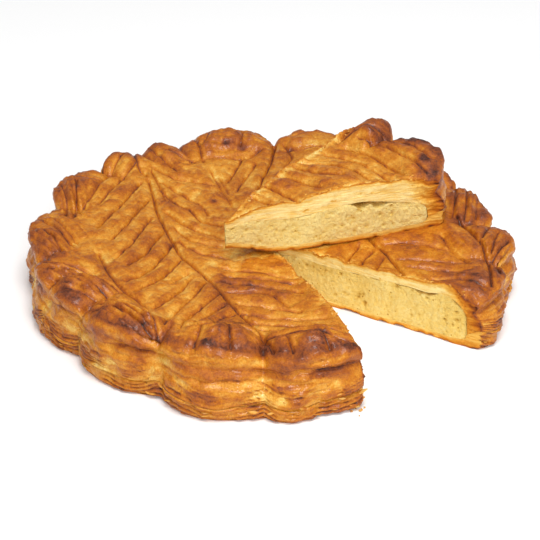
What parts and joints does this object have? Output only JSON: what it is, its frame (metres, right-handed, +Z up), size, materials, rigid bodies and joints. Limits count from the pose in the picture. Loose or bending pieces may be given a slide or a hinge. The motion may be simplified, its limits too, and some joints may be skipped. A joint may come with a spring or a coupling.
{
  "type": "galette des rois",
  "caption": "Round puff pastry galette filled with frangipane, with leaves scored on its lid, a petalled rim and a cut slice laid on top.",
  "frame": {"origin": "under the middle of the galette, on the surface that it stands on", "axes": "+Z up; the gap left by the slice opens towards +X and -Y, and the slice lies across the top with its rim towards +X"},
  "size_m": [0.2842, 0.2941, 0.0762],
  "materials": {
    "crust": "glazed golden-brown pastry",
    "cream": "baked almond cream with fine pores",
    "bottom": "flaky pastry"
  },
  "bodies": {
    "root": {"galette_lid": "crust", "galette_frangipane": "cream", "galette_base": "bottom", "slice_lid": "crust", "slice_frangipane": "cream", "slice_base": "bottom"}
  },
  "joints": []
}
